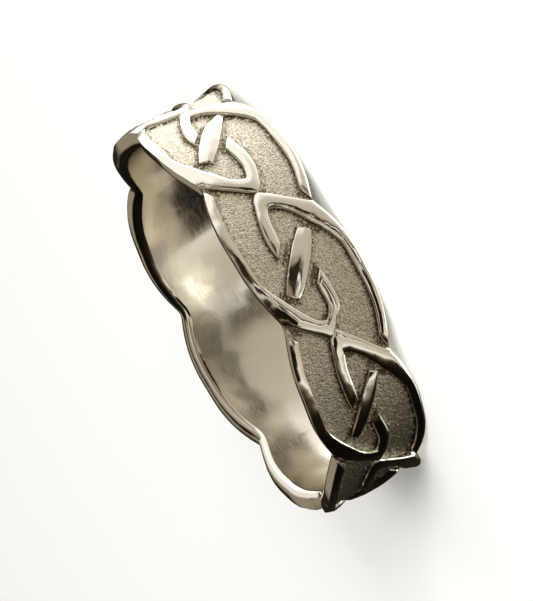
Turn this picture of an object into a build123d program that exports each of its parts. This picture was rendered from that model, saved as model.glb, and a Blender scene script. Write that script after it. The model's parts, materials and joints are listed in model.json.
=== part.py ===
from build123d import *
import os
from math import cos, hypot, pi, sin

# A cast finger ring with a raised Celtic knot, lying on its side: millimetres, axis along +Z.
# The floor is at height 0, where the lower scallops rest.

# Driving dimensions
bore_radius = 9.5
wall = 1.05
relief = 0.34
repeats = 8
crest_half_width = 2.77
scallop_depth = 0.76
crest_land = 0.3
rim_width = 0.5
bar_width = 0.98
under_gap = 0.36
cusp_radius = 0.35
inner_round = 0.3
outer_round = 0.14
cut_margin = 1.0

# Sizes that follow from them
outer_radius = bore_radius + wall
field_radius = outer_radius - relief
waist_half_width = crest_half_width - scallop_depth
half_repeat = pi / repeats
half_turn = Axis((0, 0, crest_half_width), (1, 0, 0))

# One repeat of the knot about the middle of its bar, charted by hand. The columns are the share of
# half a repeat along the band and the share of the waist's half width across it. The other half of
# the repeat is the same shape turned half round.
WAIST = (0.591, 1.0)
NOSE = (1.03, 0.0)
CROTCH = (0.756, 0.0)
ARM_START = (0.0, 1.07)
ARM_BEND = (0.42, 0.62)
RETURN_TURN = (0.955, -0.15)
RETURN_OUTER = (0.61, -0.39)
RETURN_END_OUTER = (0.224, -0.38)
RETURN_END_INNER = (0.30, -0.105)
RETURN_INNER = (0.55, -0.116)
BAR_END = (0.39, 0.615)


# Plane through the ring's axis and middle height that looks outwards at an angle, its Y axis up
def outward_plane(angle):
    return Plane(
        origin=(0, 0, crest_half_width),
        x_dir=(-sin(angle), cos(angle), 0),
        z_dir=(cos(angle), sin(angle), 0),
    )


# Place of a chart point in the outward plane of the repeat's bar
def spot(point, side=1, step=0):
    along, across = point
    angle = (side * along + 2 * side * step) * half_repeat
    return (-outer_radius * sin(angle), side * across * waist_half_width)


# Chart point on a scallop's arc, at a share of its half length from the crest
def scallop(share, inset=0.0):
    rise = scallop_depth * (1 - share * share)
    return (WAIST[0] - 1 + share, 1 + (rise - inset) / waist_half_width)


# Outline of the floor under one scallop, from the middle of the band to the rim
def lobe_floor(side, step):
    left, middle, right = (spot(scallop(share, rim_width), side, step) for share in (-1, 0, 1))
    with BuildLine() as outline:
        ThreePointArc(left, middle, right)
        Polyline(right, (right[0], 0), (left[0], 0), left)
    return outline.edges()


# Outline of the gap through the rim where it starts under the strand that crosses over it
def rim_gap(side):
    waist = Vector(*spot(WAIST, side, -1))
    run = (Vector(*spot(NOSE, side, -1)) - waist).normalized()
    away = Vector(run.Y, -run.X)
    outside = waist - run * cut_margin
    inside = waist + run * rim_width * 2
    with BuildLine() as outline:
        Polyline(outside, inside, inside + away * under_gap, outside + away * under_gap, close=True)
    return outline.edges()


# Outline of the strand that leaves the rim at a waist, turns at its nose and comes back
def ribbon(side, step):
    def at(point):
        return spot(point, side, step)

    in_rim = at((ARM_START[0], ARM_START[1] + rim_width / waist_half_width))
    with BuildLine() as outline:
        Line(at(WAIST), at(NOSE))
        Line(at(NOSE), at(RETURN_TURN))
        ThreePointArc(at(RETURN_TURN), at(RETURN_OUTER), at(RETURN_END_OUTER))
        Line(at(RETURN_END_OUTER), at(RETURN_END_INNER))
        ThreePointArc(at(RETURN_END_INNER), at(RETURN_INNER), at(CROTCH))
        ThreePointArc(at(CROTCH), at(ARM_BEND), at(ARM_START))
        Polyline(at(ARM_START), in_rim, at(WAIST))
    return outline.edges()


# Outline of the bar that crosses over the middle of the repeat
def bar():
    end = Vector(*spot(BAR_END))
    side = Vector(-end.Y, end.X).normalized() * bar_width / 2
    with BuildLine() as outline:
        Polyline(end + side, end - side, -end - side, -end + side, close=True)
    return outline.edges()


# Notch between two scallops of the upper edge, which leaves a short flat at each crest
with BuildPart() as notch:
    with BuildSketch(outward_plane(-WAIST[0] * half_repeat)) as waste:
        reach = bore_radius * sin(half_repeat) - crest_land / 2
        top = crest_half_width + cut_margin
        with BuildLine():
            TangentArc((-reach, crest_half_width), (0, waist_half_width), tangent=(1, 0))
            TangentArc((reach, crest_half_width), (0, waist_half_width), tangent=(-1, 0))
            Polyline((reach, crest_half_width), (reach, top), (-reach, top), (-reach, crest_half_width))
        make_face()
        fillet(waste.vertices().sort_by(Axis.Y)[0], cusp_radius)
    extrude(amount=outer_radius + cut_margin)

# Pocket of one repeat: the matt floor around its bar and strands
with BuildPart() as pocket:
    with BuildSketch(outward_plane(0)) as floor:
        for side in (1, -1):
            make_face(lobe_floor(side, 0))
            make_face(lobe_floor(side, 1))
            make_face(rim_gap(side))
        for side in (1, -1):
            make_face(ribbon(side, -1), mode=Mode.SUBTRACT)
            make_face(ribbon(side, 0), mode=Mode.SUBTRACT)
        make_face(bar(), mode=Mode.SUBTRACT)
        half_chord = outer_radius * sin(half_repeat)
        add(floor.faces().filter_by(lambda face: abs(face.center().X) < half_chord), mode=Mode.REPLACE)
    extrude(amount=outer_radius + cut_margin)
    with Locations((0, 0, crest_half_width)):
        Cylinder(field_radius, 2 * (crest_half_width + cut_margin), mode=Mode.SUBTRACT)


# Whether an edge runs round the ring at this radius, rather than across it
def runs_round(edge, radius):
    on_wall = all(abs(hypot((edge @ t).X, (edge @ t).Y) - radius) < 1e-4 for t in (0.1, 0.5, 0.9))
    return on_wall and edge.geom_type != GeomType.LINE


# The ring: one casting, wavy at both edges, with the knot standing above its pockets
with BuildPart() as ring_band:
    with BuildSketch(Plane.XY):
        Circle(outer_radius)
        Circle(bore_radius, mode=Mode.SUBTRACT)
    extrude(amount=2 * crest_half_width)
    with PolarLocations(0, repeats):
        add(notch.part, mode=Mode.SUBTRACT)
        add(notch.part.rotate(half_turn, 180), mode=Mode.SUBTRACT)
    fillet(ring_band.edges().filter_by(lambda edge: runs_round(edge, bore_radius)), inner_round)
    fillet(ring_band.edges().filter_by(lambda edge: runs_round(edge, outer_radius)), outer_round)
    with PolarLocations(0, repeats):
        add(pocket.part, mode=Mode.SUBTRACT)

os.makedirs("parts", exist_ok=True)
ring_band.part.label = "ring_band"
export_step(ring_band.part, "parts/ring_band.step")
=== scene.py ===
import json
import random
from math import atan2, cos, hypot, pi, radians, sin, sqrt

import bmesh
import bpy
from bpy.props import FloatProperty, FloatVectorProperty, IntProperty, PointerProperty
from mathutils import Matrix, Vector, noise
from mathutils.kdtree import KDTree


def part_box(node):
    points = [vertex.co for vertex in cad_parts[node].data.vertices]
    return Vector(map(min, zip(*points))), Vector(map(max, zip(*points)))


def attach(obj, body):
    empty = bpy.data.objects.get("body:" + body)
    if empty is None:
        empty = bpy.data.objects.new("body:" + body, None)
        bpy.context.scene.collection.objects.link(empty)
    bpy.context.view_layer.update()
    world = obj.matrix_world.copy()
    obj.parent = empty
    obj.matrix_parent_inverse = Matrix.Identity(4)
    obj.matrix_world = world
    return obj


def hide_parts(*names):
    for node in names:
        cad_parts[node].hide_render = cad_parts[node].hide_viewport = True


bl_info = {
    "name": "Celtic Ring",
    "version": (1, 0, 0),
    "blender": (4, 5, 0),
    "location": "View3D > Sidebar > Celtic Ring",
    "description": "Models the cast ring with its raised knot, and the studio that it lies in",
    "category": "Add Mesh",
}

MM = 0.001

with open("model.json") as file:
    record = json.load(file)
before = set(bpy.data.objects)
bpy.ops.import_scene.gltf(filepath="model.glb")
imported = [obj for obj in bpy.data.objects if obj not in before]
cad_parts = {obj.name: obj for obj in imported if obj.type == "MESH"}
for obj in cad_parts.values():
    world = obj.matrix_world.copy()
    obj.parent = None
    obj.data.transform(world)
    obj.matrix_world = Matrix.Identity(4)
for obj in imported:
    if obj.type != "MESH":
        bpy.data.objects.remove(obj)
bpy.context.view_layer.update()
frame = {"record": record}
BAND_LOW, BAND_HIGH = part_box("ring_band")
FINGER_HOLE = next(mount for mount in frame["record"]["mounts"] if mount["name"] == "finger_hole")


def length(name, default, description):
    """A size in metres with its name and a default that can't go below nothing."""
    return FloatProperty(
        name=name, default=default, min=0.0, precision=5, unit="LENGTH", description=description
    )


def angle(name, default, description):
    """An angle in radians with its name."""
    return FloatProperty(name=name, default=default, subtype="ANGLE", description=description)


def colour(name, default, description):
    """A colour as the shader reads it."""
    return FloatVectorProperty(
        name=name, default=default, size=3, min=0.0, max=1.0, subtype="COLOR", description=description
    )


class BandSizes(bpy.types.PropertyGroup):
    """The wavy band that the knot stands on."""

    outer_radius: length("Outer Radius", (BAND_HIGH.x - BAND_LOW.x) / 2, "Radius over the raised knot")
    bore_radius: length("Bore Radius", FINGER_HOLE["dims"]["r_mm"] * MM, "Radius of the finger hole")
    middle_height: length(
        "Middle Height", (BAND_LOW.z + BAND_HIGH.z) / 2, "Height of the band's middle above the floor"
    )
    crest_half_width: length(
        "Crest Half Width", (BAND_HIGH.z - BAND_LOW.z) / 2, "Half the band's width at a scallop's crest"
    )
    scallop_depth: length("Scallop Depth", 0.76 * MM, "How far the edge falls from a crest to a waist")
    crest_land: length("Crest Land", 0.3 * MM, "Flat stretch at the top of each crest, at the bore")
    cusp_softness: length("Cusp Softness", 0.1 * MM, "Rounding of the notch at each waist, on the outside")
    cusp_spread: FloatProperty(
        name="Cusp Spread", default=0.4, min=0.0, description="How fast that rounding grows towards the bore"
    )
    relief: length("Relief", 0.34 * MM, "Height of the knot above the matt floor")
    inner_round: length("Inner Round", 0.5 * MM, "Radius of the edges at the bore")
    outer_round: length("Outer Round", 0.25 * MM, "Radius of the edges on the outside")
    repeats: IntProperty(
        name="Repeats", default=8, min=4, max=16, description="Repeats of the knot around the band"
    )
    waver: length("Waver", 0.03 * MM, "How far the hand-cut strands stray")
    waver_spacing: length("Waver Spacing", 0.9 * MM, "Distance between two strayings")
    grain: length("Grain", 0.066 * MM, "Spacing of the matt floor's stipple")
    grain_depth: length("Grain Depth", 0.018 * MM, "How far the stipple rises and falls")
    burr: length("Burr", 0.2 * MM, "Height of the grains thrown up along the strands' feet")


class KnotSizes(bpy.types.PropertyGroup):
    """The raised strands and bars."""

    rim_width: length("Rim Width", 0.5 * MM, "Width of the raised rim along each scallop")
    rim_gap: length("Rim Gap", 0.1 * MM, "Matt strip between a strand's outer edge and the next rim")
    rim_slant: length("Rim Slant", 0.3 * MM, "How much wider that strip is at the rim's inner corner")
    bar_width: length("Bar Width", 1.0 * MM, "Width of the bar that crosses each repeat")
    bar_length: length("Bar Length", 3.5 * MM, "Length of the bar")
    bar_angle: angle("Bar Angle", radians(38), "Slant of the bar to the band's run")
    crown: length("Crown", 0.11 * MM, "How far a strand's shoulders fall below its ridge")
    ridge_reach: length("Ridge Reach", 0.32 * MM, "Distance from a strand's edge to its ridge")
    near_roll: length("Near Roll", 0.18 * MM, "How far the upper rims fall towards the scalloped edge")
    soft_edge: length("Soft Edge", 0.05 * MM, "Rounding of the strands' and bars' upper edges")
    bar_taper: FloatProperty(
        name="Bar Taper",
        default=0.27,
        min=0.0,
        max=0.9,
        description="Share of its width that a bar loses at its ends",
    )
    bar_slope: length("Bar Slope", 0.18 * MM, "How far a bar's face falls from its ridge")
    bar_arch: length("Bar Arch", 0.08 * MM, "How far a bar's ends fall below its middle")
    facet: length("Facet", 0.25 * MM, "Spacing of the cuts that let a strand follow the band's curve")


# Outline of the strand that runs along a rim, crosses to its nose and comes back, about the middle of
# its repeat's bar. The columns are millimetres along the band, clockwise seen from above, and across it.
WAIST = (2.448, 2.005)
NOSE = ((4.18, 0.02), (4.1, -0.2))
RETURN_OUTER = ((3.86, -0.37), (3.43, -0.53), (2.74, -0.74), (2.11, -0.82), (1.4, -0.8), (0.62, -0.68))
RETURN_INNER = ((1.24, -0.21), (1.8, -0.2), (2.37, -0.21), (2.8, -0.13), (3.13, 0.0))
CROSSING_INNER = ((3.0, 0.33), (2.74, 0.66), (2.37, 0.93), (1.76, 1.3), (1.19, 1.65), (0.55, 1.98))


# How the hand-cut repeats differ from that outline, by the number of the repeat. A strand's columns are
# millimetres that its nose reaches further along and across, and that its cut end does.
PLAIN_STRAND = (0.0, 0.0, 0.0, 0.0)
NEAR_STRANDS = {0: (-0.22, 0.36, 0.0, 0.0), 1: (0.0, 0.0, -0.1, 0.18), 7: (0.0, 0.0, -0.5, 0.1)}
FAR_STRANDS = {0: (0.0, 0.0, 0.0, -0.18), 1: (0.5, -0.04, -0.35, -0.02), 7: (0.0, 0.0, -0.1, -0.26)}
# A bar's columns are millimetres further along and across, shares of its length and width, degrees turned,
# and the share by which it rises across its width.
PLAIN_BAR = (0.0, 0.0, 1.0, 1.0, 0.0, 0.0)
BARS = {
    0: (-0.03, 0.03, 1.0, 1.04, 0.0, 0.0),
    1: (-0.1, -0.06, 1.06, 0.78, -7.0, 0.18),
    7: (-0.43, 0.1, 1.02, 1.04, -3.5, 0.0),
}


# Where a strand's nose and cut end start to stretch, and over what length, in millimetres along the band,
# and the strip across it that the cut end lies in
NOSE_STARTS, END_STARTS, STRETCH_RUN = 2.4, 2.6, 1.6
CUT_END_STRIP = (-1.1, 0.1)

# How deep in the band the strands and bars start, from the matt floor
ROOT = -0.15 * MM
# Widths of the strips along a strand's and a bar's upper edges that carry their rounding
STRAND_STRIPS = (0.04 * MM, 0.06 * MM, 0.08 * MM)
BAR_STRIPS = (0.04 * MM, 0.06 * MM)
# How full a strand and a bar are between ridge and edge: 1 is flat, and more is rounder
STRAND_FULLNESS, BAR_FULLNESS = 1.4, 1.2
# Where a bar's ridge runs, as a share of its half width
BAR_RIDGE = -0.3
# Within this of the top counts as on it, when the tops are shaped
ON_TOP = 1e-7
# Share of their spacing by which the slices miss the middle, so that none falls on a corner
SLICE_SHIFT = 0.37

# Steps of the turned cutters in each repeat
EDGE_STEPS, BORE_STEPS = 40, 32

# Seed of the hand-made unevenness and of the grain, the same in every run
SEED = 11


def clamp(value):
    """A value held between 0 and 1."""
    return max(0.0, min(1.0, value))


def edge_height(band, along, depth=0.0):
    """Height of the upper scalloped edge over the band's middle, at a place along it and into the wall."""
    half_repeat = pi / band.repeats
    turn = (along - WAIST[0] * MM) / band.outer_radius
    turn = (turn + half_repeat) % (2 * half_repeat) - half_repeat
    reach = band.bore_radius * sin(half_repeat) - band.crest_land / 2
    fall = hypot(band.outer_radius * sin(turn), band.cusp_softness + band.cusp_spread * depth)
    if fall >= reach:
        return band.crest_half_width
    sweep = (reach * reach + band.scallop_depth**2) / (2 * band.scallop_depth)
    return band.crest_half_width - sweep + sqrt(sweep * sweep - (reach - fall) ** 2)


def smooth_run(points, steps):
    """Points along a curve that passes through each given point, with a few steps between two."""
    run = [Vector(p) * MM for p in points]
    padded = [2 * run[0] - run[1], *run, 2 * run[-1] - run[-2]]
    curve = []
    for before, start, end, after in zip(padded, padded[1:], padded[2:], padded[3:]):
        for step in range(steps):
            t = step / steps
            curve.append(
                0.5
                * (
                    2 * start
                    + (end - before) * t
                    + (2 * before - 5 * start + 4 * end - after) * t**2
                    + (3 * start - before - 3 * end + after) * t**3
                )
            )
    return [*curve, run[-1]]


def strand_outline(band, knot):
    """Flat outline of one strand, which overruns the scalloped edge."""
    steps = 40
    overrun, join, spare = 0.3 * MM, 0.4 * MM, 0.1 * MM
    waist, tip = Vector(WAIST) * MM, Vector(NOSE[0]) * MM
    run = (tip - waist).normalized()
    away = Vector((-run.y, run.x))
    rim_start = waist - Vector((2 * pi * band.outer_radius / band.repeats, 0)) + away * knot.rim_gap
    rim_corner = rim_start + run * knot.rim_width + away * knot.rim_slant
    stations = [rim_start.x + (waist.x - rim_start.x) * i / steps for i in range(steps + 1)]
    outer = [Vector((along, edge_height(band, along) + overrun)) for along in stations]
    outer[-1] = waist - run * overrun
    rim_end = CROSSING_INNER[-1][0] * MM - join
    inner = [
        Vector((along, edge_height(band, along) - knot.rim_width))
        for along in reversed(stations)
        if rim_corner.x + spare < along < rim_end
    ]
    nose = [Vector(p) * MM for p in NOSE]
    crossing = smooth_run((RETURN_INNER[-1], *CROSSING_INNER), 4)[1:]
    back = [*smooth_run(RETURN_OUTER, 3), *smooth_run(RETURN_INNER, 3)]
    return [*outer, *nose, *back, *crossing, *inner, rim_corner, rim_start]


def raise_face(bm, outline, floor, top):
    """A flat solid with the outline's shape between two heights, and its top face."""
    base = bm.faces.new([bm.verts.new((p.x, p.y, floor)) for p in outline])
    raised = bmesh.ops.extrude_face_region(bm, geom=[base])["geom"]
    bmesh.ops.translate(
        bm, verts=[v for v in raised if isinstance(v, bmesh.types.BMVert)], vec=(0, 0, top - floor)
    )
    bmesh.ops.recalc_face_normals(bm, faces=bm.faces)
    return next(f for f in raised if isinstance(f, bmesh.types.BMFace))


def slice_flat(bm, spacing):
    """Cuts across and along a flat solid, so that it can bend with the band."""
    for axis in (0, 1):
        low = min(v.co[axis] for v in bm.verts)
        high = max(v.co[axis] for v in bm.verts)
        normal = Vector((axis == 0, axis == 1, 0))
        for i in range(int(low / spacing) - 1, int(high / spacing) + 2):
            bmesh.ops.bisect_plane(
                bm,
                geom=[*bm.verts, *bm.edges, *bm.faces],
                dist=1e-8,
                plane_co=normal * (i + SLICE_SHIFT) * spacing,
                plane_no=normal,
            )


def outline_distance(point, outline):
    """Distance from a point to the nearest side of a closed outline."""
    gaps = []
    for start, end in zip(outline, outline[1:] + outline[:1]):
        side = end - start
        t = clamp((point - start).dot(side) / side.length_squared)
        gaps.append((point - start - side * t).length)
    return min(gaps)


def flat_strand(band, knot, roll):
    """One strand, flat, with a ridged top that rolls over towards the scalloped edge."""
    outline = strand_outline(band, knot)
    bm = bmesh.new()
    top = raise_face(bm, outline, ROOT, band.relief)
    for width in STRAND_STRIPS:
        bmesh.ops.inset_region(bm, faces=[top], thickness=width, use_even_offset=True)
    slice_flat(bm, knot.facet)
    for v in bm.verts:
        if v.co.z > band.relief - ON_TOP:
            inside = outline_distance(v.co.xy, outline)
            fall = knot.crown * max(0.0, 1 - inside / knot.ridge_reach) ** STRAND_FULLNESS
            corner = max(0.0, 1 - inside / knot.soft_edge)
            rim = clamp(1 - (edge_height(band, v.co.x) - v.co.y) / knot.rim_width)
            v.co.z -= fall + knot.soft_edge * corner * corner + roll * rim
    return bm


def flat_bar(band, knot):
    """One bar, flat, bellied and arched along its length, with a ridge near its lower edge."""
    bm = bmesh.new()
    half_run, half_width = knot.bar_length / 2, knot.bar_width / 2
    outline = [Vector((x * half_run, y * half_width)) for x, y in ((-1, -1), (1, -1), (1, 1), (-1, 1))]
    top = raise_face(bm, outline, ROOT, band.relief)
    for width in BAR_STRIPS:
        bmesh.ops.inset_region(bm, faces=[top], thickness=width, use_even_offset=True)
    slice_flat(bm, knot.facet / 2)
    for v in bm.verts:
        across = v.co.y / half_width
        along = v.co.x / half_run
        if v.co.z > band.relief - ON_TOP:
            inside = min(half_width - abs(v.co.y), half_run - abs(v.co.x))
            corner = max(0.0, 1 - inside / knot.soft_edge)
            if across > BAR_RIDGE:
                slope = (across - BAR_RIDGE) / (1 - BAR_RIDGE)
            else:
                slope = (BAR_RIDGE - across) / (1 + BAR_RIDGE)
            fall = knot.bar_slope * slope**BAR_FULLNESS
            v.co.z -= fall + knot.bar_arch * along * along + knot.soft_edge * corner * corner
        v.co.y *= 1 - knot.bar_taper * along * along
    return bm


def face_outwards(bm):
    """Turns the faces of closed work outwards, where they all agree already."""
    if bm.calc_volume(signed=True) < 0:
        bmesh.ops.reverse_faces(bm, faces=bm.faces)


def wrap(bm, band):
    """Bends flat work round the band: along becomes a turn, across a height and height a radius."""
    for v in bm.verts:
        turn = -v.co.x / band.outer_radius
        radius = band.outer_radius - band.relief + v.co.z
        v.co = (radius * cos(turn), radius * sin(turn), band.middle_height + v.co.y)


def work_object(name, bm, materials=()):
    """A mesh object made from a bmesh, in the scene."""
    mesh = bpy.data.meshes.new(name)
    bm.to_mesh(mesh)
    bm.free()
    for material in materials:
        mesh.materials.append(material)
    made = bpy.data.objects.new(name, mesh)
    bpy.context.scene.collection.objects.link(made)
    return made


def lay_strand(bm, verts, reaches, half_turned):
    """Draws out one strand's nose and cut end, and turns it half round for the far side."""
    nose_along, nose_across, end_along, end_across = (reach * MM for reach in reaches)
    low, high = CUT_END_STRIP
    for v in verts:
        nose = clamp((v.co.x / MM - NOSE_STARTS) / STRETCH_RUN)
        nose *= nose * (3 - 2 * nose)
        end = 0.0
        if low < v.co.y / MM < high and v.co.x > 0:
            end = clamp((END_STARTS - v.co.x / MM) / STRETCH_RUN)
        v.co.x += nose * nose_along + end * end_along
        v.co.y += nose * nose_across + end * end_across
    if half_turned:
        bmesh.ops.rotate(bm, verts=verts, cent=(0, 0, 0), matrix=Matrix.Rotation(pi, 3, "Z"))


def lay_bar(bm, verts, reaches, slant):
    """Sizes, tilts, slants and moves one bar."""
    along, across, run_share, width_share, turn, rise = reaches
    bmesh.ops.scale(bm, verts=verts, vec=(run_share, width_share, 1))
    for v in verts:
        v.co.z += v.co.y * rise
    slanted = Matrix.Rotation(slant + radians(turn), 3, "Z")
    bmesh.ops.rotate(bm, verts=verts, cent=(0, 0, 0), matrix=slanted)
    bmesh.ops.translate(bm, verts=verts, vec=(along * MM, across * MM, 0))


def around(name, flat, band, lay, materials):
    """Copies of a flat piece, one laid in each repeat by its number, bent round the band."""
    repeat = 2 * pi * band.outer_radius / band.repeats
    first = [*flat.verts, *flat.edges, *flat.faces]
    laid = [list(flat.verts)]
    for step in range(1, band.repeats):
        copied = bmesh.ops.duplicate(flat, geom=first)["geom"]
        laid.append([v for v in copied if isinstance(v, bmesh.types.BMVert)])
    for step, verts in enumerate(laid):
        lay(flat, verts, step)
        bmesh.ops.translate(flat, verts=verts, vec=(step * repeat, 0, 0))
    noise.seed_set(SEED)
    for v in flat.verts:
        v.co += noise.noise_vector(v.co / band.waver_spacing) * band.waver
    wrap(flat, band)
    face_outwards(flat)
    return work_object(name, flat, materials)


def spun(profile, steps):
    """A closed ring with the profile's section, given as radius and height pairs."""
    bm = bmesh.new()
    verts = [bm.verts.new((radius, 0, height)) for radius, height in profile]
    edges = [bm.edges.new(pair) for pair in zip(verts, verts[1:] + verts[:1])]
    bmesh.ops.spin(
        bm,
        geom=[*verts, *edges],
        cent=(0, 0, 0),
        axis=(0, 0, 1),
        angle=2 * pi,
        steps=steps,
        use_merge=True,
        use_duplicate=False,
    )
    return bm


def blank(band, materials):
    """The plain tube that the ring is cut from, its outside stippled."""
    # How far the tube reaches beyond the crests, and within the bore
    above, within = 0.2 * MM, 0.3 * MM
    field = band.outer_radius - band.relief
    reach = band.crest_half_width + above
    around_field = 2 * pi * band.outer_radius
    columns, rows = int(around_field / band.grain), int(2 * reach / band.grain)
    bm = bmesh.new()
    bmesh.ops.create_grid(bm, x_segments=columns, y_segments=rows, size=0.5)
    bmesh.ops.scale(bm, verts=bm.verts, vec=(around_field, 2 * reach, 1))
    draw = random.Random(SEED)
    drift = 0.3 * band.grain
    ends = around_field / 2 - band.grain / 2, reach - band.grain / 2
    for v in bm.verts:
        if abs(v.co.x) < ends[0] and abs(v.co.y) < ends[1]:
            v.co += Vector((draw.uniform(-drift, drift), draw.uniform(-drift, drift), 0))
            v.co.z = draw.uniform(-1, 1) * band.grain_depth
    wrap(bm, band)
    bmesh.ops.remove_doubles(bm, verts=bm.verts, dist=band.grain / 100)
    rims = [e for e in bm.edges if e.is_boundary]
    lips = bmesh.ops.extrude_edge_only(bm, edges=rims)["geom"]
    inside = (band.bore_radius - within) / field
    inner_rims = [v for v in lips if isinstance(v, bmesh.types.BMVert)]
    bmesh.ops.scale(bm, verts=inner_rims, vec=(inside, inside, 1))
    bmesh.ops.bridge_loops(bm, edges=[e for e in lips if isinstance(e, bmesh.types.BMEdge)])
    bmesh.ops.recalc_face_normals(bm, faces=bm.faces)
    face_outwards(bm)
    for f in bm.faces:
        f.material_index = 1
    return work_object("blank", bm, materials)


def quarter(centre, radius, start, stop, steps):
    """Points on an arc, as radius and height pairs, between two angles in degrees."""
    angles = [radians(start + (stop - start) * i / steps) for i in range(steps + 1)]
    return [(centre[0] + radius * cos(a), centre[1] + radius * sin(a)) for a in angles]


def edge_cutter(band, side, materials):
    """What is cut away beyond one scalloped edge, with a rounded corner at the bore and outside."""
    inner, outer = band.inner_round, band.outer_round
    # Each corner's arc stops short by the lean, in degrees, and the tail runs on from there. The rest is how
    # far the tool stands clear of the tail, reaches beyond the walls and rises above the edge.
    lean, tail, clear, beyond, top = 8, 0.12 * MM, 0.03 * MM, 0.5 * MM, 1.6 * MM
    bore_arc = quarter((band.bore_radius + inner, -inner), inner, 180 - lean, 90, 8)
    outer_arc = quarter((band.outer_radius - outer, -outer), outer, 90, lean, 6)
    start = (bore_arc[0][0] - tail * sin(radians(lean)), bore_arc[0][1] - tail * cos(radians(lean)))
    stop = (outer_arc[-1][0] + clear, outer_arc[-1][1] - tail)
    profile = [
        start,
        *bore_arc,
        *outer_arc,
        stop,
        (stop[0] + beyond, stop[1]),
        (stop[0] + beyond, top),
        (start[0] - beyond, top),
        (start[0] - beyond, start[1]),
    ]
    bm = spun(profile, band.repeats * EDGE_STEPS)
    for v in bm.verts:
        along = -side * atan2(v.co.y, v.co.x) * band.outer_radius
        depth = max(0.0, band.outer_radius - hypot(v.co.x, v.co.y))
        v.co.z = band.middle_height + side * (edge_height(band, along, depth) + v.co.z)
    bmesh.ops.recalc_face_normals(bm, faces=bm.faces)
    face_outwards(bm)
    return work_object("edge_cutter", bm, materials)


def bore_drill(band, materials):
    """The plug that opens the finger hole."""
    bm = bmesh.new()
    bmesh.ops.create_cone(
        bm,
        cap_ends=True,
        segments=band.repeats * BORE_STEPS,
        radius1=band.bore_radius,
        radius2=band.bore_radius,
        depth=10 * MM,
        matrix=Matrix.Translation((0, 0, band.middle_height)),
    )
    return work_object("bore_drill", bm, materials)


def fuse(body, tools):
    """The body after each tool has been joined to it or cut from it, as one closed mesh."""
    for tool, operation in tools:
        step = body.modifiers.new(tool.name, "BOOLEAN")
        step.object = tool
        step.operation = operation
        step.solver = "MANIFOLD"
        step.material_mode = "TRANSFER"
    graph = bpy.context.evaluated_depsgraph_get()
    fused = bpy.data.meshes.new_from_object(body.evaluated_get(graph))
    for done in (body, *(tool for tool, _ in tools)):
        bpy.data.objects.remove(done)
    return fused


def drop_crumbs(mesh):
    """Keeps the largest connected part, since cuts can leave crumbs that hang on nothing."""
    bm = bmesh.new()
    bm.from_mesh(mesh)
    left = dict.fromkeys(bm.verts)
    islands = []
    while left:
        island = [left.popitem()[0]]
        for v in island:
            near = [e.other_vert(v) for e in v.link_edges]
            near = [other for other in near if other in left]
            for other in near:
                del left[other]
            island.extend(near)
        islands.append(island)
    islands.sort(key=len)
    crumbs = [v for island in islands[:-1] for v in island]
    bmesh.ops.delete(bm, geom=crumbs, context="VERTS")
    bm.to_mesh(mesh)
    bm.free()


# Reach of the tarnish and painted shade from a strand's foot
TARNISH_AND_SHADE_REACH = 0.35 * MM
# Share of tarnish and painted shade that every side of a strand gathers, what an upper side gathers more
# and a lower one less as painted shade, and how much the metal's own slope counts for that
TARNISH_AND_SHADE_SHARE, TARNISH_AND_SHADE_UPPER, TARNISH_AND_SHADE_SLOPE = 0.62, 0.38, 1.4
# Reach of a pocket between two feet, as a share of the feet's own, how much more painted shade and tarnish
# it gathers, how far the second foot has to turn away from the first, and how fast the pocket grows from
# there
POCKET_REACH, POCKET_TARNISH_AND_SHADE, POCKET_TURN, POCKET_GROWTH = 1.2, 1.8, 0.05, 2
# Share of darkening in the matt floor's pits, partly tarnish and partly painted shade, and their depth
PIT_TARNISH_AND_SHADE = 0.42
PIT_DEPTH = 0.032 * MM
# The burrs' spacing, the strip along a foot where they stand, and the draw above which a grain is one
BURR_SPACING = 0.03 * MM
BURR_STRIP = (0.04 * MM, 0.2 * MM)
BURR_DRAW = 0.8
# How much rougher the bore's polish is than the strands'
BORE_HAZE = 0.08
# Edges that turn by more than this stay sharp
SHARP_TURN = radians(38)
# Marks of the polished and the matt metal, where a point touches them
POLISHED, MATT = 1, 2


class FinishColours(bpy.types.PropertyGroup):
    """The silver's finishes."""

    polished: colour("Polished Silver", (0.93, 0.9, 0.83), "Colour of the polished metal")
    # A darker, browner copy of the polished silver: painted shade inside the finger hole
    bore: colour("Bore Silver", (0.86, 0.82, 0.735), "Colour of the metal inside the finger hole")
    matt: colour("Matt Silver", (0.92, 0.85, 0.715), "Colour of the stippled floors")
    # Dark colour blended in at the strands' feet, in pockets and in pits: partly tarnish, partly painted
    # shade
    tarnish_and_shade: colour("Tarnish And Shade", (0.17, 0.13, 0.08), "Colour of the metal where polish doesn't reach")
    polished_roughness: FloatProperty(
        name="Polished Roughness",
        default=0.07,
        min=0.0,
        max=1.0,
        description="Roughness of the polished metal",
    )
    matt_roughness: FloatProperty(
        name="Matt Roughness",
        default=0.38,
        min=0.0,
        max=1.0,
        description="Roughness of the stippled floors",
    )
    scratch: length("Scratch", 0.05 * MM, "Spacing of the polished metal's fine scratches")
    scratch_depth: FloatProperty(
        name="Scratch Depth", default=0.012, min=0.0, max=1.0, description="Share of the soft waves' depth"
    )
    wave: length("Wave", 0.9 * MM, "Size of the soft waves in the strands' polish")
    wave_depth: length("Wave Depth", 0.03 * MM, "Height that the strands' waves range over")
    bore_wave: length("Bore Wave", 2.0 * MM, "Size of the soft waves in the bore's polish")
    bore_wave_depth: length("Bore Wave Depth", 0.07 * MM, "Height that the bore's waves range over")
    pit: length("Pit", 0.085 * MM, "Size of the matt floor's pits")


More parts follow.
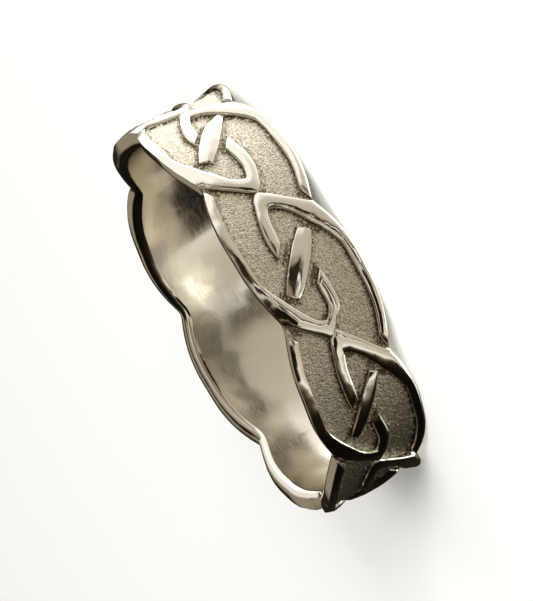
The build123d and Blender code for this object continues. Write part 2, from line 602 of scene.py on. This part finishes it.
def new_group(name, inputs, outputs):
    """A shader node group with named float, vector or colour sockets, and its input and output nodes."""
    group = bpy.data.node_groups.new(name, "ShaderNodeTree")
    for label, kind, value in inputs:
        socket = group.interface.new_socket(label, in_out="INPUT", socket_type=kind)
        if value is not None:
            socket.default_value = value
    for label, kind in outputs:
        group.interface.new_socket(label, in_out="OUTPUT", socket_type=kind)
    return group, group.nodes.new("NodeGroupInput"), group.nodes.new("NodeGroupOutput")


def add_node(tree, kind, settings=(), inputs=()):
    """A node with its settings, and its inputs linked to sockets or set to values."""
    node = tree.nodes.new(kind)
    for name, value in dict(settings).items():
        setattr(node, name, value)
    for key, value in dict(inputs).items():
        if isinstance(value, bpy.types.NodeSocket):
            tree.links.new(value, node.inputs[key])
        else:
            node.inputs[key].default_value = value
    return node


def blend(tree, factor, first, second):
    """A colour between two others."""
    inputs = {"Factor": factor, "A": first, "B": second}
    return add_node(tree, "ShaderNodeMix", {"data_type": "RGBA"}, inputs).outputs["Result"]


def cast_grain():
    """Group for punched grain: the height of its round grains and a mask of the pits between them."""
    group, given, result = new_group(
        "cast_grain",
        (("Vector", "NodeSocketVector", None), ("Size", "NodeSocketFloat", 0.0001)),
        (("Height", "NodeSocketFloat"), ("Pits", "NodeSocketFloat")),
    )
    scale = add_node(group, "ShaderNodeMath", {"operation": "DIVIDE"}, {0: 1.0, 1: given.outputs["Size"]})
    grains = add_node(
        group,
        "ShaderNodeTexVoronoi",
        {"feature": "F1"},
        {"Vector": given.outputs["Vector"], "Scale": scale.outputs[0]},
    )
    uneven = add_node(
        group,
        "ShaderNodeTexNoise",
        {},
        {"Vector": given.outputs["Vector"], "Scale": scale.outputs[0], "Detail": 1.0, "Roughness": 0.6},
    )
    height = add_node(
        group,
        "ShaderNodeMath",
        {"operation": "SUBTRACT"},
        {0: uneven.outputs["Fac"], 1: grains.outputs["Distance"]},
    )
    group.links.new(height.outputs[0], result.inputs["Height"])
    pits = add_node(
        group,
        "ShaderNodeMapRange",
        {"interpolation_type": "SMOOTHSTEP"},
        {"Value": height.outputs[0], "From Min": 0.05, "From Max": -0.25},
    )
    group.links.new(pits.outputs["Result"], result.inputs["Pits"])
    return group


def hand_polish():
    """Group for the fine scratches and soft waves that hand polishing leaves."""
    group, given, result = new_group(
        "hand_polish",
        (
            ("Vector", "NodeSocketVector", None),
            ("Spacing", "NodeSocketFloat", 0.00005),
            ("Depth", "NodeSocketFloat", 0.03),
            ("Wave", "NodeSocketFloat", 0.001),
        ),
        (("Height", "NodeSocketFloat"), ("Haze", "NodeSocketFloat")),
    )
    stretch = add_node(
        group,
        "ShaderNodeMapping",
        {"vector_type": "POINT"},
        {"Vector": given.outputs["Vector"], "Scale": (0.1, 0.1, 1.0)},
    )
    fine = add_node(group, "ShaderNodeMath", {"operation": "DIVIDE"}, {0: 1.0, 1: given.outputs["Spacing"]})
    scratches = add_node(
        group,
        "ShaderNodeTexNoise",
        {},
        {"Vector": stretch.outputs["Vector"], "Scale": fine.outputs[0], "Detail": 2.0, "Roughness": 0.6},
    )
    broad = add_node(group, "ShaderNodeMath", {"operation": "DIVIDE"}, {0: 1.0, 1: given.outputs["Wave"]})
    waves = add_node(
        group,
        "ShaderNodeTexNoise",
        {},
        {"Vector": given.outputs["Vector"], "Scale": broad.outputs[0], "Detail": 1.0, "Roughness": 0.4},
    )
    height = add_node(
        group,
        "ShaderNodeMath",
        {"operation": "MULTIPLY_ADD"},
        {0: scratches.outputs["Fac"], 1: given.outputs["Depth"], 2: waves.outputs["Fac"]},
    )
    group.links.new(height.outputs[0], result.inputs["Height"])
    haze = add_node(
        group,
        "ShaderNodeMapRange",
        {},
        {"Value": scratches.outputs["Fac"], "From Min": 0.45, "From Max": 0.75},
    )
    group.links.new(haze.outputs["Result"], result.inputs["Haze"])
    return group


def feet_tarnish_and_shade():
    """Group for the darkening at the strands' feet and in pits, partly tarnish and partly painted shade: the
    metal's colour with it.
    """
    group, given, result = new_group(
        "feet_tarnish_and_shade",
        (
            ("Bare", "NodeSocketColor", None),
            ("Tarnish And Shade", "NodeSocketColor", None),
            ("Tucked", "NodeSocketFloat", 0.0),
            ("Start", "NodeSocketFloat", 0.3),
            ("Most", "NodeSocketFloat", 0.9),
            ("Pits", "NodeSocketFloat", 0.0),
            ("Pit Share", "NodeSocketFloat", 0.0),
        ),
        (("Color", "NodeSocketColor"),),
    )
    feet = add_node(
        group,
        "ShaderNodeMapRange",
        {"interpolation_type": "SMOOTHSTEP"},
        {
            "Value": given.outputs["Tucked"],
            "From Min": given.outputs["Start"],
            "From Max": 0.95,
            "To Max": given.outputs["Most"],
        },
    )
    share = add_node(
        group,
        "ShaderNodeMath",
        {"operation": "MULTIPLY_ADD", "use_clamp": True},
        {0: given.outputs["Pits"], 1: given.outputs["Pit Share"], 2: feet.outputs["Result"]},
    )
    # Blends towards the dark colour: painted shade at feet, pockets and pits, with some tarnish
    darkened = blend(group, share.outputs[0], given.outputs["Bare"], given.outputs["Tarnish And Shade"])
    group.links.new(darkened, result.inputs["Color"])
    return group


def new_material(name):
    """A metal material, with its tree, its shader and a socket that gives Object coordinates."""
    material = bpy.data.materials.new(name)
    material.use_nodes = True
    tree = material.node_tree
    shader = tree.nodes["Principled BSDF"]
    shader.inputs["Metallic"].default_value = 1.0
    place = add_node(tree, "ShaderNodeTexCoord").outputs["Object"]
    return material, tree, shader, place


def tarnished_and_shaded_colour(tree, tarnish_and_shade, colours, places):
    """The metal's colour with its tarnish and painted shade, which gather by the piece's own attribute."""
    bare, dark = colours
    tucked = add_node(tree, "ShaderNodeAttribute", {"attribute_name": "tucked"}).outputs["Fac"]
    given = {"Bare": (*bare, 1), "Tarnish And Shade": (*dark, 1), "Tucked": tucked, **places}
    return add_node(tree, "ShaderNodeGroup", {"node_tree": tarnish_and_shade}, given).outputs["Color"]


def polished_silver(name, polish, tarnish_and_shade, finish, tint, haze, wave, wave_depth):
    """Hand polished metal, with fine scratches round the ring, and darkening low on the strands' sides that
    is partly tarnish and partly painted shade.
    """
    material, tree, shader, place = new_material(name)
    wear = add_node(
        tree,
        "ShaderNodeGroup",
        {"node_tree": polish},
        {"Vector": place, "Spacing": finish.scratch, "Depth": finish.scratch_depth, "Wave": wave},
    )
    # Painted shade with some tarnish: the metal darkens low on the strands' walls, by the tucked attribute
    base = tarnished_and_shaded_colour(tree, tarnish_and_shade, (tint, finish.tarnish_and_shade), {"Start": 0.4, "Most": 0.9})
    tree.links.new(base, shader.inputs["Base Color"])
    rough = add_node(
        tree,
        "ShaderNodeMapRange",
        {},
        {
            "Value": wear.outputs["Haze"],
            "To Min": finish.polished_roughness + haze,
            "To Max": finish.polished_roughness + haze * 1.5 + 0.07,
        },
    )
    tree.links.new(rough.outputs["Result"], shader.inputs["Roughness"])
    bump = add_node(tree, "ShaderNodeBump", {}, {"Height": wear.outputs["Height"], "Distance": wave_depth})
    tree.links.new(bump.outputs["Normal"], shader.inputs["Normal"])
    return material


def stippled_silver(tarnish_and_shade, finish):
    """The matt floor between the strands, darker in its pits and corners: partly tarnish, partly painted
    shade.
    """
    material, tree, shader, place = new_material("stippled_silver")
    grain = add_node(
        tree, "ShaderNodeGroup", {"node_tree": cast_grain()}, {"Vector": place, "Size": finish.pit}
    )
    # Painted shade with some tarnish: the floor darkens at the strands' feet, in pockets and in its pits
    places = {"Start": 0.3, "Most": 0.85, "Pits": grain.outputs["Pits"], "Pit Share": PIT_TARNISH_AND_SHADE}
    base = tarnished_and_shaded_colour(tree, tarnish_and_shade, (finish.matt, finish.tarnish_and_shade), places)
    tree.links.new(base, shader.inputs["Base Color"])
    rough = add_node(
        tree,
        "ShaderNodeMapRange",
        {},
        {
            "Value": grain.outputs["Height"],
            "From Min": -0.1,
            "From Max": 0.35,
            "To Min": finish.matt_roughness + 0.1,
            "To Max": finish.matt_roughness - 0.2,
        },
    )
    tree.links.new(rough.outputs["Result"], shader.inputs["Roughness"])
    bump = add_node(
        tree,
        "ShaderNodeBump",
        {},
        {"Height": grain.outputs["Height"], "Strength": 1.0, "Distance": PIT_DEPTH},
    )
    tree.links.new(bump.outputs["Normal"], shader.inputs["Normal"])
    return material


def mark_tucked(mesh):
    """Marks how much tarnish and painted shade each point gathers, from 0 to 1. Gives the matt points'
    distances to a foot.
    """
    seen = {}
    for polygon in mesh.polygons:
        for corner in polygon.vertices:
            seen[corner] = seen.get(corner, 0) | (1 << polygon.material_index)
    border = [corner for corner, marks in seen.items() if marks == POLISHED | MATT]
    tree = KDTree(len(border))
    for corner in border:
        tree.insert(mesh.vertices[corner].co, corner)
    tree.balance()
    tucked = mesh.attributes.new("tucked", "FLOAT", "POINT")
    pocket_reach = POCKET_REACH * TARNISH_AND_SHADE_REACH
    nearest = 0.01 * MM
    distances = {}
    for vertex in mesh.vertices:
        foot, _, near = tree.find(vertex.co)
        if near < TARNISH_AND_SHADE_REACH:
            side = (foot - vertex.co).normalized()
            # Painted shade: the darkening grows or shrinks with which way the point and its foot face
            faces_up = TARNISH_AND_SHADE_SLOPE * vertex.normal.z - side.z
            share = TARNISH_AND_SHADE_SHARE + TARNISH_AND_SHADE_UPPER * max(-1.0, min(1.0, faces_up))
            pocket = 0.0
            # Painted shade, with some tarnish, in the pockets between two feet
            for place, _, gap in tree.find_range(vertex.co, pocket_reach):
                turned = -POCKET_TURN - side.dot(place - vertex.co) / max(gap, nearest)
                pocket = max(pocket, min(1.0, POCKET_GROWTH * turned) * (1 - gap / pocket_reach))
            gathered = (1 - near / TARNISH_AND_SHADE_REACH) * share + POCKET_TARNISH_AND_SHADE * pocket
            tucked.data[vertex.index].value = min(1.0, gathered)
        if seen[vertex.index] == MATT:
            distances[vertex.index] = near
    return distances


def raise_burrs(mesh, distances, band):
    """Lifts small grains along the strands' feet, where the punch threw them up, and clears the feet's
    tarnish and painted shade from them.
    """
    tucked = mesh.attributes["tucked"].data
    low, high = BURR_STRIP
    for corner, near in distances.items():
        place = mesh.vertices[corner].co
        drawn = 0.5 + 0.5 * noise.cell(place / BURR_SPACING)
        if low < near < high and drawn > BURR_DRAW:
            grown = 1 + (drawn - 0.5) * band.burr / hypot(place.x, place.y)
            place.x *= grown
            place.y *= grown
            # The lifted grain loses its painted shade and tarnish
            tucked[corner].value = 0.0


class RING_OT_cast_band(bpy.types.Operator):
    """Model the ring as one casting: wavy band, matt floors and raised knot"""

    bl_idname = "celtic_ring.cast_band"
    bl_label = "Cast the Band"

    def execute(self, context):
        scene = context.scene
        band, knot, finish = scene.ring_band, scene.ring_knot, scene.ring_finish
        polish, tarnish_and_shade = hand_polish(), feet_tarnish_and_shade()
        silver = polished_silver(
            "polished_silver", polish, tarnish_and_shade, finish, finish.polished, 0.0, finish.wave, finish.wave_depth
        )
        # The bore's darker colour is painted shade in the finger hole
        bore = polished_silver(
            "bore_silver",
            polish,
            tarnish_and_shade,
            finish,
            finish.bore,
            BORE_HAZE,
            finish.bore_wave,
            finish.bore_wave_depth,
        )
        stipple = stippled_silver(tarnish_and_shade, finish)

        def lay_near(bm, verts, step):
            lay_strand(bm, verts, NEAR_STRANDS.get(step, PLAIN_STRAND), False)

        def lay_far(bm, verts, step):
            lay_strand(bm, verts, FAR_STRANDS.get(step, PLAIN_STRAND), True)

        def lay_slanted(bm, verts, step):
            lay_bar(bm, verts, BARS.get(step, PLAIN_BAR), knot.bar_angle)

        near_strand, far_strand = flat_strand(band, knot, knot.near_roll), flat_strand(band, knot, 0.0)
        tools = [
            (around("near_strands", near_strand, band, lay_near, [silver]), "UNION"),
            (around("far_strands", far_strand, band, lay_far, [silver]), "UNION"),
            (around("bars", flat_bar(band, knot), band, lay_slanted, [silver]), "UNION"),
            (bore_drill(band, [bore]), "DIFFERENCE"),
            (edge_cutter(band, 1, [silver]), "DIFFERENCE"),
            (edge_cutter(band, -1, [silver]), "DIFFERENCE"),
        ]
        mesh = fuse(blank(band, [silver, stipple]), tools)
        drop_crumbs(mesh)
        mesh.name = "ring_band_cast"
        mesh.shade_smooth()
        mesh.set_sharp_from_angle(angle=SHARP_TURN)
        raise_burrs(mesh, mark_tucked(mesh), band)
        piece = bpy.data.objects.new("ring_band_cast", mesh)
        scene.collection.objects.link(piece)
        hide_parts("ring_band")
        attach(piece, "root")
        return {"FINISHED"}


class StageSizes(bpy.types.PropertyGroup):
    """The floor and the camera."""

    camera_distance: length("Camera Distance", 355.3 * MM, "Camera to the ring's middle")
    camera_azimuth: angle("Camera Azimuth", radians(-4.96), "Camera's turn about the ring's axis")
    camera_elevation: angle("Camera Elevation", radians(12.27), "Camera's angle above the floor")
    camera_roll: angle("Camera Roll", radians(-118.34), "Turn of the picture about its middle")
    camera_lens: FloatProperty(
        name="Lens",
        default=436.9,
        min=1.0,
        subtype="DISTANCE_CAMERA",
        description="Focal length for a 36 mm sensor",
    )
    aim_right: FloatProperty(
        name="Aim Right",
        default=-0.106 * MM,
        unit="LENGTH",
        description="How far right of the ring's middle the camera aims",
    )
    aim_up: FloatProperty(
        name="Aim Up",
        default=0.024 * MM,
        unit="LENGTH",
        description="How far above the ring's middle the camera aims",
    )
    floor_size: length("Floor Size", 3.0, "Side of the floor")


# Soft lights that lay the ring's shadow on the floor. The columns are the turn about the ring's axis and the
# angle above the floor in degrees, the side in metres and the watts.
LIGHTS = (
    (8, 40, 1.4, 20.0),
    (14, 10, 0.4, 21.0),
)
# Distance of the lights from the ring's middle, in metres
LIGHT_DISTANCE = 1.2


def camera_axes(stage):
    """The picture's right and up directions and the direction back to the camera."""
    azimuth, elevation = stage.camera_azimuth, stage.camera_elevation
    back = Vector((cos(elevation) * cos(azimuth), cos(elevation) * sin(azimuth), sin(elevation)))
    level = Vector((-sin(azimuth), cos(azimuth), 0))
    upright = back.cross(level)
    right = cos(stage.camera_roll) * level + sin(stage.camera_roll) * upright
    return right, back.cross(right), back


def place_camera(stage, middle_height):
    """The camera at the photograph's angle."""
    right, up, back = camera_axes(stage)
    target = Vector((0, 0, middle_height)) + right * stage.aim_right + up * stage.aim_up
    camera = bpy.data.objects.new("camera", bpy.data.cameras.new("camera"))
    camera.data.lens = stage.camera_lens
    camera.data.clip_start = 0.01
    camera.data.clip_end = 10
    turned = Matrix((right, up, back)).transposed().to_4x4()
    camera.matrix_world = Matrix.Translation(target + back * stage.camera_distance) @ turned
    bpy.context.scene.collection.objects.link(camera)
    bpy.context.scene.camera = camera


# What the metal mirrors, turning about the picture's level axis from behind and below, past the camera and
# over the top to behind and above. The columns are the share of the turn and the red, green and blue there.
ROOM = (
    (0.0, (0.02, 0.016, 0.01)),
    (0.16, (0.004, 0.003, 0.0015)),
    (0.24, (0.004, 0.003, 0.0015)),
    (0.3, (0.007, 0.005, 0.003)),
    (0.335, (0.016, 0.012, 0.007)),
    (0.365, (0.055, 0.044, 0.026)),
    (0.39, (0.25, 0.215, 0.15)),
    (0.408, (0.95, 0.93, 0.85)),
    (0.428, (0.8, 0.77, 0.67)),
    (0.452, (0.62, 0.58, 0.47)),
    (0.49, (0.54, 0.5, 0.39)),
    (0.515, (0.5, 0.46, 0.355)),
    (0.523, (0.95, 0.93, 0.86)),
    (0.535, (0.9, 0.88, 0.8)),
    (0.543, (0.06, 0.045, 0.026)),
    (0.553, (0.04, 0.03, 0.017)),
    (0.565, (0.28, 0.24, 0.17)),
    (0.582, (0.5, 0.46, 0.36)),
    (0.65, (0.56, 0.52, 0.42)),
    (0.7, (0.68, 0.645, 0.54)),
    (0.745, (0.92, 0.89, 0.8)),
    (0.79, (1.2, 1.18, 1.1)),
    (0.84, (2.4, 2.4, 2.3)),
    (0.92, (2.2, 2.2, 2.1)),
    (0.945, (0.9, 0.88, 0.8)),
    (0.968, (0.2, 0.17, 0.115)),
    (1.0, (0.02, 0.016, 0.01)),
)
# Round panels in front of it. The columns are the direction to the panel's middle, as shares right, up and
# towards the camera, its half size and the softness of its edge in degrees, and its colour.
PANELS = (
    ((-0.6, 0.75, 0.1), 20, 16, (1.05, 1.03, 0.95)),
    ((-0.54, 0.0, 0.84), 13, 12, (0.25, 0.21, 0.14)),
    ((0.0, 0.05, 1.0), 5, 3, (0.03, 0.022, 0.012)),
    ((0.08, -0.42, 0.91), 14, 5, (0.008, 0.006, 0.003)),
    ((-0.2, 0.3, 0.93), 9, 4, (0.02, 0.015, 0.008)),
    ((0.3, -0.02, 0.95), 5, 5, (0.06, 0.05, 0.03)),
    ((0.95, 0.2, 0.3), 14, 14, (0.5, 0.46, 0.355)),
    ((0.85, 0.05, -0.52), 12, 9, (0.95, 0.93, 0.86)),
    ((-0.72, -0.27, -0.64), 12, 14, (0.28, 0.24, 0.17)),
    ((-0.84, 0.25, -0.48), 9, 14, (0.85, 0.82, 0.74)),
    ((-1.0, 0.0, 0.2), 10, 16, (0.34, 0.3, 0.22)),
)
# How far the room leans over to the picture's left, in degrees
ROOM_LEAN = 15


def share_towards(tree, direction, axis):
    """How far a direction points along an axis."""
    pointing = add_node(tree, "ShaderNodeVectorMath", {"operation": "DOT_PRODUCT"}, {0: direction, 1: axis})
    return pointing.outputs["Value"]


def hang_panel(tree, direction, centre, half_size, softness, tint, behind):
    """A round panel with a soft edge, in front of what is behind it."""
    inside = add_node(
        tree,
        "ShaderNodeMapRange",
        {"interpolation_type": "SMOOTHSTEP"},
        {
            "Value": share_towards(tree, direction, centre),
            "From Min": cos(radians(half_size + softness)),
            "From Max": cos(radians(half_size)),
        },
    )
    return blend(tree, inside.outputs["Result"], behind, (*tint, 1))


def light_studio(stage):
    """The room that lights the ring and that the metal mirrors, behind a plain white background."""
    right, up, back = camera_axes(stage)
    upright = up * cos(radians(ROOM_LEAN)) + right * sin(radians(ROOM_LEAN))
    world = bpy.data.worlds.new("studio")
    bpy.context.scene.world = world
    world.use_nodes = True
    tree = world.node_tree
    direction = add_node(tree, "ShaderNodeTexCoord").outputs["Generated"]
    turn = add_node(
        tree,
        "ShaderNodeMath",
        {"operation": "ARCTAN2"},
        {0: share_towards(tree, direction, upright), 1: share_towards(tree, direction, back)},
    )
    share = add_node(
        tree, "ShaderNodeMapRange", {}, {"Value": turn.outputs[0], "From Min": -pi, "From Max": pi}
    )
    room = add_node(tree, "ShaderNodeValToRGB", {}, {"Fac": share.outputs["Result"]})
    ramp = room.color_ramp
    while len(ramp.elements) < len(ROOM):
        ramp.elements.new(0.5)
    for stop, (position, tint) in zip(ramp.elements, ROOM):
        stop.position = position
        stop.color = (*tint, 1)
    mirrored = room.outputs["Color"]
    for centre, half_size, softness, tint in PANELS:
        middle = (right * centre[0] + up * centre[1] + back * centre[2]).normalized()
        mirrored = hang_panel(tree, direction, middle, half_size, softness, tint, mirrored)
    seen = add_node(tree, "ShaderNodeLightPath").outputs["Is Camera Ray"]
    tree.links.new(blend(tree, seen, mirrored, (1.0, 1.0, 1.0, 1)), tree.nodes["Background"].inputs["Color"])


def lay_floor(stage):
    """The plain pale floor, which the metal doesn't mirror."""
    bm = bmesh.new()
    bmesh.ops.create_grid(bm, x_segments=1, y_segments=1, size=stage.floor_size / 2)
    paper = bpy.data.materials.new("paper")
    paper.use_nodes = True
    shader = paper.node_tree.nodes["Principled BSDF"]
    shader.inputs["Base Color"].default_value = (0.95, 0.95, 0.95, 1)
    shader.inputs["Roughness"].default_value = 1.0
    shader.inputs["Specular IOR Level"].default_value = 0.0
    floor = work_object("floor", bm, [paper])
    floor.visible_glossy = False
    floor.visible_shadow = False


def hang_light(azimuth, elevation, side, watts, middle_height):
    """A large soft light that faces the ring, and that the metal doesn't mirror."""
    light = bpy.data.lights.new("soft_light", "AREA")
    light.shape = "SQUARE"
    light.size = side
    light.energy = watts
    azimuth, elevation = radians(azimuth), radians(elevation)
    back = Vector((cos(elevation) * cos(azimuth), cos(elevation) * sin(azimuth), sin(elevation)))
    lamp = bpy.data.objects.new("soft_light", light)
    lamp.rotation_mode = "QUATERNION"
    lamp.rotation_quaternion = back.to_track_quat("Z", "Y")
    lamp.location = Vector((0, 0, middle_height)) + back * LIGHT_DISTANCE
    lamp.visible_glossy = False
    bpy.context.scene.collection.objects.link(lamp)


class RING_OT_set_stage(bpy.types.Operator):
    """Set the plain floor, the soft studio light and the camera"""

    bl_idname = "celtic_ring.set_stage"
    bl_label = "Set the Stage"

    def execute(self, context):
        scene = context.scene
        stage = scene.ring_stage
        scene.view_settings.view_transform = "Standard"
        lay_floor(stage)
        light_studio(stage)
        for azimuth, elevation, side, watts in LIGHTS:
            hang_light(azimuth, elevation, side, watts, scene.ring_band.middle_height)
        place_camera(stage, scene.ring_band.middle_height)
        return {"FINISHED"}


class RING_PT_sidebar(bpy.types.Panel):
    """The ring's sizes and operators in the sidebar"""

    bl_label = "Celtic Ring"
    bl_idname = "RING_PT_sidebar"
    bl_space_type = "VIEW_3D"
    bl_region_type = "UI"
    bl_category = "Celtic Ring"

    def draw(self, context):
        for name, group in GROUPS.items():
            box = self.layout.box()
            for key in group.__annotations__:
                box.prop(getattr(context.scene, name), key)
        for operator in OPERATORS:
            self.layout.operator(operator.bl_idname)


GROUPS = {
    "ring_band": BandSizes,
    "ring_knot": KnotSizes,
    "ring_finish": FinishColours,
    "ring_stage": StageSizes,
}
OPERATORS = (RING_OT_cast_band, RING_OT_set_stage)


def register():
    """Registers the classes, and hangs the sizes on the scene."""
    for cls in (*GROUPS.values(), *OPERATORS, RING_PT_sidebar):
        bpy.utils.register_class(cls)
    for name, group in GROUPS.items():
        setattr(bpy.types.Scene, name, PointerProperty(type=group))


def unregister():
    """Takes them off again."""
    for name in GROUPS:
        delattr(bpy.types.Scene, name)
    for cls in reversed((*GROUPS.values(), *OPERATORS, RING_PT_sidebar)):
        bpy.utils.unregister_class(cls)


def main():
    """Builds the ring and its stage."""
    register()
    bpy.ops.celtic_ring.cast_band()
    bpy.ops.celtic_ring.set_stage()


if __name__ == "__main__":
    main()
